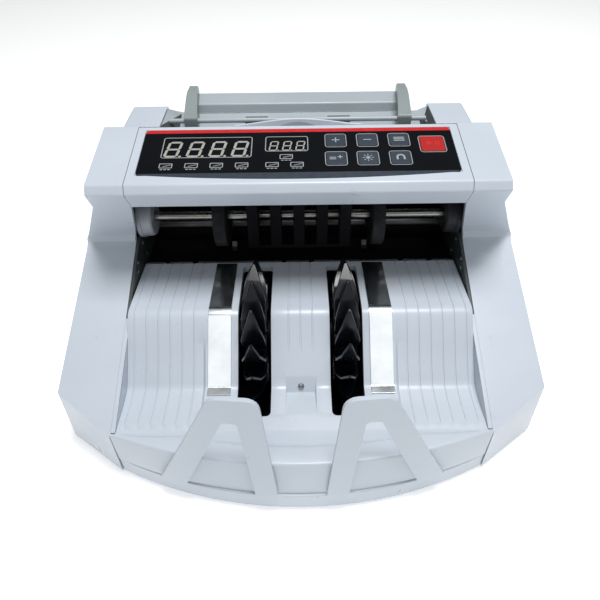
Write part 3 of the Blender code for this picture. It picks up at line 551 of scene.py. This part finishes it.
def add_keys():
    """A line round each key on the membrane, and the sign on its cap, which travels with the key."""
    lines = bmesh.new()
    line, gap = 0.45, 0.34
    signs = key_signs()
    for name in KEY_NAMES:
        x, up, size = find_key(name)
        reach = size / 2 + gap + line
        line_box(lines, x - reach, x + reach, up - reach, up + reach, 1.9, line)
        bm = bmesh.new()
        for outline in signs[name]:
            printed(bm, [(x + a, up + b) for a, b in outline], KEY_PROUD + INK_FOOT, KEY_PROUD + INK)
        material = PRINT_RED if name == "start" else PRINT_GREY
        add_piece(bm, f"{name}_sign", material, f"key_{name}_cap", smooth=False)
    add_piece(lines, "key_outlines", PRINT_GREY, smooth=False)


# ---------------------------------------------------------------- tray and front

def tray_stations():
    """(middle of the top surface, its normal) along the tray, from the back to the front."""
    low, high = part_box("stacker_tray")
    margin = 0.02 * MM
    line = top_line("stacker_tray", 0.06, high.y - margin, low.y + margin, 76)
    stations = []
    for i, (y, z) in enumerate(line):
        before, after = line[max(0, i - 1)], line[min(len(line) - 1, i + 1)]
        along = Vector((0, after[0] - before[0], after[1] - before[1])).normalized()
        normal = Vector((0, along.z, -along.y)) * (1 if along.y < 0 else -1)
        stations.append((Vector((0, y, z)), normal))
    return stations


def ease(value, start, stop):
    """0 before start and 1 after stop, with a smooth change between them."""
    share = min(1.0, max(0.0, (value - start) / (stop - start)))
    return share * share * (3 - 2 * share)


def panel_drop(y):
    """How far the outer grooved panels lie below the middle of the tray, in millimetres."""
    return PANEL_DROP * ease(y, -36.0, -58.0) * (1 - ease(y, -74.0, -93.0))


def groove(x, top, floor):
    """Across one groove: (x, depth) from its left edge to its right edge."""
    return [(x - GROOVE_TOP, top), (x - GROOVE_FLOOR, floor), (x + GROOVE_FLOOR, floor), (x + GROOVE_TOP, top)]


def tray_section(y, half):
    """Across the tray: (x, depth below the top) from left to right, in millimetres."""
    drop = panel_drop(y)
    centre = GROOVE_DEPTH * (1 - ease(y, CENTRE_GROOVE_END + 2, CENTRE_GROOVE_END))
    side = GROOVE_DEPTH * (1 - ease(y, -88.0, -94.0))
    right = [(PANEL_EDGE - 0.8, 0.0), (PANEL_EDGE, drop * 0.5), (PANEL_EDGE + 0.8, drop)]
    for x in SIDE_GROOVES:
        right += groove(x, drop, drop + side)
    right.append((half, drop))
    middle = []
    for x in CENTRE_GROOVES:
        middle += groove(x, 0.0, centre)
    return [(-x, depth) for x, depth in right[::-1]] + middle + right


def slot_tool(side):
    """The cutter of a paddle wheel's slot."""
    bm = bmesh.new()
    low, high = sorted((side * SLOT_INNER, side * SLOT_OUTER))
    outline = rounded(low, high, SLOT_FRONT, SLOT_REAR, 2.8)
    loft(bm, [[Vector((x, y, z)) * MM for x, y in outline] for z in (0.0, 100.0)])
    return finish_bmesh(bm, "slot_tool", MATERIALS["casing_grey"])


def pocket_tool():
    """The cutter of the pocket round the tray's screw."""
    bm = bmesh.new()
    prism_x(bm, [(y * MM, z * MM) for y, z in POCKET], -POCKET_HALF, POCKET_HALF)
    return finish_bmesh(bm, "pocket_tool", MATERIALS["casing_grey"])


def add_tray():
    """The tray with its grooves, its lower outer panels, the slots of the paddles and the screw pocket."""
    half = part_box("stacker_tray")[1].x / MM
    under = [(half, TRAY_THICK), (TRAY_RIB_HALF + 1.0, TRAY_THICK), (TRAY_RIB_HALF, TRAY_RIB_THICK)]
    under += [(-x, depth) for x, depth in under[::-1]]
    rings = []
    for place, normal in tray_stations():
        section = tray_section(place.y / MM, half) + under
        rings.append([place + Vector((x, 0, 0)) * MM - normal * depth * MM for x, depth in section])
    bm = bmesh.new()
    loft(bm, rings)
    tray = add_piece(bm, "grooved_tray", MATERIALS["casing_grey"])
    for side in (-1, 1):
        cut(tray, slot_tool(side))
    cut(tray, pocket_tool())
    round_edges(tray, 0.45)
    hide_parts("stacker_tray")


def screw_head(bm, centre, axis, radius):
    """A domed screw head with a socket in its middle."""
    profile = [(-1.0, radius * 0.9), (0.0, radius), (radius * 0.28, radius * 0.8),
               (radius * 0.4, radius * 0.42), (radius * 0.38, radius * 0.36), (-0.1, radius * 0.3)]
    turned(bm, centre, axis, profile, 20)


def add_screws():
    """Screws of the tray pocket, the frame plates and the underside."""
    bm = bmesh.new()
    screw_head(bm, Vector(POCKET_SCREW) * MM, (0, -0.84, 0.54), 1.9)
    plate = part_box("right_frame_plate")[0].x
    for y, z in ((22.4, 77.6), (26.1, 66.0), (5.1, 74.8), (2.0, 70.0)):
        screw_head(bm, (-plate, y * MM, z * MM), (1, 0, 0), 1.3)
        screw_head(bm, (plate, y * MM, z * MM), (-1, 0, 0), 1.3)
    floor_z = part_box("base_pan")[0].z
    for x in (-118, 0, 118):
        for y in (-60, 96):
            screw_head(bm, (x * MM, y * MM, floor_z), (0, 0, -1), 2.2)
    add_piece(bm, "screws", MATERIALS["motor_can"])


def add_rear_rail():
    """The thin notched strip behind the tray's rear edge."""
    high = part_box("stacker_tray")[1]
    y, z = high.y / MM + 0.4, 65.0
    half = high.x / MM
    edges = [-half] + [edge for x in RAIL_NOTCHES for edge in (x - 1.6, x + 1.6)] + [half]
    bm = bmesh.new()
    for x0, x1 in zip(edges[::2], edges[1::2]):
        block(bm, (x0, y, z - 5.0), (x1, y + 0.9, z + 0.5))
    add_piece(bm, "tray_rear_strip", MATERIALS["motor_can"], smooth=False)


def add_tray_walls():
    """The light plastic walls between the front half of the tray and the arms."""
    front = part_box("stacker_tray")[0].y + 0.4 * MM
    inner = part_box("right_frame_plate")[0].x
    for name, side in (("left", -1), ("right", 1)):
        brow = top_line("right_side_cover", inner + 2.6 * MM, WALL_REAR * MM, front, 12)
        foot = top_line("stacker_tray", 0.1, front, WALL_REAR * MM, 24)
        outline = [(y, z - 0.25 * MM) for y, z in brow] + [(y, z - 4.5 * MM) for y, z in foot]
        bm = bmesh.new()
        prism_x(bm, outline, side * (inner / MM - 0.7), side * (inner / MM - 0.05))
        cap = [(y, z - 0.2 * MM) for y, z in brow] + [(y, z - 0.6 * MM) for y, z in brow[::-1]]
        prism_x(bm, cap, side * (inner / MM - 0.7), side * (inner / MM + 1.65))
        add_piece(bm, f"{name}_tray_wall", MATERIALS["casing_grey"])


def shell_section(x):
    """The front shell in (y, z) at x: a floor level with the tray, a ramp, a rim and the outer wall."""
    low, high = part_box("front_shell")
    foot, brim = low.z, high.z
    outer = front_face("front_shell", x, brim - 1.6 * MM)
    back = high.y
    tray_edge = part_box("stacker_tray")[0].y
    line = top_line("stacker_tray", 0.06, tray_edge + 1.6 * MM, tray_edge + 0.02 * MM, 1)
    (tongue_y, tongue_z), (_, floor) = line
    crease = min(back - 0.7 * MM, outer + 14.0 * MM)
    ramp = min(4.0 * MM, 0.4 * (crease - outer))
    points = [(back, foot), (back, floor - 1.0 * MM), (tongue_y, tongue_z - 1.0 * MM)]
    points += [(tongue_y, tongue_z + 0.04 * MM), (back, floor + 0.04 * MM)]
    points.append((crease + 0.4 * ramp, floor + 0.3 * MM))
    for step in range(6):
        share = step / 5
        rise = 0.5 * MM + (brim - floor - 0.5 * MM) * ease(share, 0.0, 1.0)
        points.append((crease - ramp * share, floor + rise))
    radius = min(1.4 * MM, 0.3 * (crease - outer))
    for turn in [math.pi / 2 * i / 4 for i in range(5)]:
        points.append((outer + radius - radius * math.sin(turn), brim - radius + radius * math.cos(turn)))
    points.append((front_face("front_shell", x, foot + 0.4 * MM), foot))
    return points


def add_front_shell():
    """The bowed front wall of the tray, with its rim."""
    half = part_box("front_shell")[1].x - 0.05 * MM
    count = 36
    bm = bmesh.new()
    xs = [-half + 2 * half * i / count for i in range(count + 1)]
    loft(bm, [[(x, y, z) for y, z in shell_section(x)] for x in xs])
    shell = add_piece(bm, "rimmed_front_shell", MATERIALS["casing_grey"])
    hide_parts("front_shell")


# ---------------------------------------------------------------- hopper and drive

def add_crest():
    """The low arch that rises from the head's rear edge in front of the hopper."""
    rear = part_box("control_panel_housing")[1]
    half, rise, count = 38.0, 3.7, 24
    top = rear.z / MM
    xs = [half - 2 * half * i / count for i in range(count + 1)]
    arch = [(x, top + rise * math.cos(math.pi * x / half / 2) ** 1.5) for x in xs]
    bm = bmesh.new()
    y = rear.y / MM
    outline = [(-half, top - 6.0), (half, top - 6.0)] + arch
    loft(bm, [[Vector((x, depth, z)) * MM for x, z in outline] for depth in (y + 0.1, y + 1.5)])
    crest = add_piece(bm, "hopper_crest", MATERIALS["casing_grey"])
    round_edges(crest, 0.5, 40.0)
    bm = bmesh.new()
    inner = [(x * 0.33, top - 1.2 + rise * 0.8 * math.cos(math.pi * x / half / 2)) for x in xs]
    outline = [(-12.6, top - 4.0), (12.6, top - 4.0)] + inner
    loft(bm, [[Vector((x, depth, z)) * MM for x, z in outline] for depth in (y + 0.05, y + 0.09)])
    add_piece(bm, "crest_recess", HOPPER_GREY, smooth=False)


def add_brackets():
    """A small bent spring plate under each feed wheel."""
    bm = bmesh.new()
    for side in (-1, 1):
        low, high = sorted((side * 42.0, side * 45.2))
        outline = [(28.0, 66.0), (31.0, 67.0), (32.6, 70.6), (31.9, 70.9), (30.4, 67.8), (28.0, 66.8)]
        prism_x(bm, [(y * MM, z * MM) for y, z in outline], low, high)
    add_piece(bm, "spring_plates", DARK_STEEL)


def add_sleeves():
    """Black spacers on the stacker shaft, on both sides of each paddle wheel."""
    bm = bmesh.new()
    shaft_low, shaft_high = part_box("stacker_shaft")
    centre = (shaft_low + shaft_high) / 2
    for name, side in (("left_paddle_wheel", -1), ("right_paddle_wheel", 1)):
        low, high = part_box(name)
        ends = sorted((side * SLOT_INNER * MM, side * SLOT_OUTER * MM))
        spans = ((ends[0] - 0.5 * MM, low.x - 0.1 * MM), (high.x + 0.1 * MM, ends[1] + 0.5 * MM))
        for start, stop in spans:
            long = (stop - start) / MM
            profile = [(0.0, 3.05), (0.0, 7.6), (0.4, 8.0), (long - 0.4, 8.0), (long, 7.6), (long, 3.05)]
            turned(bm, (start, centre.y, centre.z), (1, 0, 0), profile, 28)
    add_piece(bm, "shaft_spacers", MATERIALS["black_plastic"], "stacker")


# ---------------------------------------------------------------- back and underside

def add_inlet_pins():
    """The three flat pins inside the mains inlet."""
    low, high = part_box("power_inlet")
    x, z = (low.x + high.x) / 2 / MM, (low.z + high.z) / 2 / MM
    y = low.y / MM
    bm = bmesh.new()
    for step, rise in ((-4.5, -1.4), (0.0, 2.0), (4.5, -1.4)):
        block(bm, (x + step - 0.9, y + 3.0, z + rise - 2.2), (x + step + 0.9, y + 17.0, z + rise + 2.2))
    add_piece(bm, "inlet_pins", MATERIALS["polished_steel"], smooth=False)


def add_flanks():
    """The flanks of the rear cover's two blocks, above the rear slopes of the side covers."""
    low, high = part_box("rear_cover")
    line = top_line("rear_cover", high.x - 0.3 * MM, high.y - 0.3 * MM, low.y + 0.3 * MM, 40)
    depth = 26.0 * MM
    outline = [(y, z - 0.3 * MM) for y, z in line] + [(y, z - depth) for y, z in reversed(line)]
    for name, side in (("left", -1), ("right", 1)):
        bm = bmesh.new()
        prism_x(bm, outline, side * (high.x / MM + 0.15), side * (high.x / MM + 0.27))
        add_piece(bm, f"{name}_rear_flank", MATERIALS["casing_grey"], smooth=False)


def add_vents():
    """Raised louvres on the back and under the base."""
    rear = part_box("rear_cover")[1].y / MM
    floor_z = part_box("base_pan")[0].z / MM
    bm = bmesh.new()
    for row in range(9):
        z = 14.0 + 4.2 * row
        outline = rounded(-88.0, -38.0, z, z + 1.8, 0.85, 3)
        loft(bm, [[Vector((x, y, height)) * MM for x, height in outline] for y in (rear - 0.3, rear + 0.5)])
    for row in range(8):
        front = 20.0 + 5.0 * row
        outline = rounded(-70.0, 70.0, front, front + 2.0, 0.95, 3)
        loft(bm, [[Vector((x, y, z)) * MM for x, y in outline] for z in (floor_z - 0.5, floor_z + 0.3)])
    add_piece(bm, "louvres", MATERIALS["dark_plastic"])


def on_rocker(share, outline):
    """The two rings of a printed outline, at a share of the power rocker's height."""
    low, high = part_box("power_rocker")
    start = ((low.x + high.x) / 2, 1.0, low.z + (high.z - low.z) * share)
    place, normal = meet("power_rocker", start, (0, -1, 0))
    across = Vector((1, 0, 0))
    up = normal.cross(across).normalized()
    return [[place + (across * a + up * b + normal * out) * MM for a, b in outline] for out in (INK_FOOT, INK)]


def add_rocker_marks():
    """The line and the ring on the power rocker."""
    bm = bmesh.new()
    loft(bm, on_rocker(0.76, bar(0, 0, 0.7, 3.4)))
    frame_solid(bm, on_rocker(0.24, disc(0, 0, 1.7)), on_rocker(0.24, disc(0, 0, 1.1)))
    add_piece(bm, "rocker_marks", PRINT_GREY, "rocker", smooth=False)


def add_knob_ribs():
    """Grip ribs round the thickness knob, with one pointer line on its face."""
    low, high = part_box("thickness_knob")
    centre = (low + high) / 2
    radius = (high.x - low.x) / 2 / MM
    bm = bmesh.new()
    count = 24
    outline = [(radius - 0.3, -0.45), (radius + 0.4, -0.25), (radius + 0.4, 0.25), (radius - 0.3, 0.45)]
    for i in range(count):
        turn = 2 * math.pi * i / count
        spoke = Vector((math.cos(turn), 0, math.sin(turn)))
        side = Vector((-math.sin(turn), 0, math.cos(turn)))
        rings = []
        for y in (high.y - 9.0 * MM, high.y - 1.6 * MM):
            rings.append([Vector((centre.x, y, centre.z)) + (spoke * a + side * b) * MM for a, b in outline])
        loft(bm, rings)
    add_piece(bm, "knob_ribs", MATERIALS["dark_plastic"], "thickness_screw")
    bm = bmesh.new()
    outline = bar(0, radius * 0.5, 0.8, radius * 0.7)
    face = high.y / MM
    loft(bm, [[Vector((a, y, centre.z / MM + b)) * MM for a, b in outline] for y in (face - 0.05, face + INK)])
    add_piece(bm, "knob_pointer", PRINT_GREY, "thickness_screw", smooth=False)


# ---------------------------------------------------------------- CAD nodes

EDGE_WIDTHS = {
    "left_side_cover": 1.2, "right_side_cover": 1.2, "control_panel_housing": 1.0, "rear_cover": 0.9,
    "base_pan": 0.9, "left_note_stop": 1.0, "right_note_stop": 1.0, "left_note_guide": 0.8,
    "right_note_guide": 0.8, "hopper_floor": 0.3, "hopper_back": 0.6, "left_paddle_wheel": 0.2,
    "right_paddle_wheel": 0.2, "membrane_overlay": 0.1, "left_wear_strip": 0.15, "right_wear_strip": 0.15,
    "power_rocker": 0.6, "power_inlet": 0.5, "separator_comb": 0.8, "thickness_knob": 0.5,
}
OWN_MATERIALS = {
    "hopper_floor": HOPPER_GREY, "hopper_back": HOPPER_GREY, "left_note_guide": GUIDE_GREY,
    "right_note_guide": GUIDE_GREY, "guide_rail": HOPPER_GREY, "membrane_overlay": FILM,
    "feed_shaft": SHADED_SHAFT_STEEL, "pinch_shaft": DARK_STEEL, "left_wear_strip": STRIP_STEEL,
    "right_wear_strip": STRIP_STEEL,
}


def soften(obj, width):
    """Join the node's split corners, then round its edges and even out its shading."""
    weld = obj.modifiers.new("weld", "WELD")
    weld.merge_threshold = 0.00001
    flat = obj.modifiers.new("flat", "DECIMATE")
    flat.decimate_type = "DISSOLVE"
    flat.angle_limit = math.radians(0.5)
    bevel = obj.modifiers.new("round", "BEVEL")
    bevel.width = width * MM
    bevel.segments = 3
    bevel.limit_method = "ANGLE"
    bevel.angle_limit = math.radians(32)
    normals = obj.modifiers.new("normals", "WEIGHTED_NORMAL")
    normals.keep_sharp = False
    obj.data.shade_smooth()


def paint_faces(node, material, wanted):
    """Give the faces of a node that pass a test a second material."""
    mesh = NODES[node].data
    mesh.materials.append(material)
    for face in mesh.polygons:
        if wanted(face):
            face.material_index = len(mesh.materials) - 1


def finish_nodes():
    """Give every CAD node its material and its rounded edges."""
    slots = {part["node"]: part["material_slot"] for part in frame["record"]["subparts"]}
    for name, obj in NODES.items():
        obj.data.materials.clear()
        obj.data.materials.append(OWN_MATERIALS.get(name, MATERIALS[slots[name]]))
        soften(obj, EDGE_WIDTHS.get(name, 0.25))
    # The base pan's inner floor is painted black: painted shade for the dark inside seen through the slots.
    pan_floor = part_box("base_pan")[0].z + 4.0 * MM

    def is_pan_floor_in_shade(face):
        return face.normal.z > 0.9 and face.center.z < pan_floor

    paint_faces("base_pan", MATERIALS["black_plastic"], is_pan_floor_in_shade)
    # Steep side faces of the hopper floor get the darker grey as painted shade.
    paint_faces("hopper_floor", CHEEK_PAINTED_SHADE, lambda face: abs(face.normal.x) > 0.5)


# ---------------------------------------------------------------- studio

def add_camera():
    """The view from above and in front of the tray."""
    data = bpy.data.cameras.new("camera")
    data.lens, data.sensor_width = 33.0, 36.0
    camera = bpy.data.objects.new("camera", data)
    tilt = Matrix.Rotation(math.radians(CAMERA_TILT), 4, "X")
    roll = Matrix.Rotation(math.radians(CAMERA_ROLL), 4, "Z")
    camera.matrix_world = Matrix.Translation(CAMERA_PLACE) @ tilt @ roll
    bpy.context.scene.collection.objects.link(camera)
    bpy.context.scene.camera = camera


def add_floor():
    """A pale floor that glows a little, so that it stays white."""
    mesh = bpy.data.meshes.new("floor")
    mesh.from_pydata([(-9, -9, 0), (9, -9, 0), (9, 9, 0), (-9, 9, 0)], [], [(0, 1, 2, 3)])
    floor = bpy.data.objects.new("floor", mesh)
    bpy.context.scene.collection.objects.link(floor)
    material, tree, shader = new_material("floor")
    add_colour(tree, shader, noise(tree, 3.0), (0.96, 0.96, 0.96), (0.98, 0.98, 0.98))
    shader.inputs["Roughness"].default_value = 0.9
    shader.inputs["Emission Color"].default_value = (1.0, 1.0, 1.0, 1.0)
    shader.inputs["Emission Strength"].default_value = 0.36
    mesh.materials.append(material)


def add_light(name, place, size, power):
    """A square light that looks at the machine."""
    data = bpy.data.lights.new(name, "AREA")
    data.size, data.energy = size, power
    light = bpy.data.objects.new(name, data)
    light.location = place
    light.rotation_euler = (Vector(LIGHT_AIM) - Vector(place)).to_track_quat("-Z", "Y").to_euler()
    bpy.context.scene.collection.objects.link(light)


def add_sky():
    """Even light from all round."""
    world = bpy.data.worlds.new("world")
    bpy.context.scene.world = world
    world.use_nodes = True
    background = world.node_tree.nodes["Background"]
    background.inputs["Color"].default_value = (0.95, 0.98, 1.0, 1.0)
    background.inputs["Strength"].default_value = 0.25
    bpy.context.scene.view_settings.view_transform = "Standard"


add_tray()
add_front_shell()
add_tray_walls()
add_rear_rail()
add_screws()
add_digits()
add_printed_lines()
add_lamps()
add_stripe()
add_crescent()
add_keys()
add_crest()
add_brackets()
add_sleeves()
add_inlet_pins()
add_flanks()
add_vents()
add_rocker_marks()
add_knob_ribs()
finish_nodes()
add_camera()
add_floor()
for name, settings in LIGHTS.items():
    add_light(name, *settings)
add_sky()
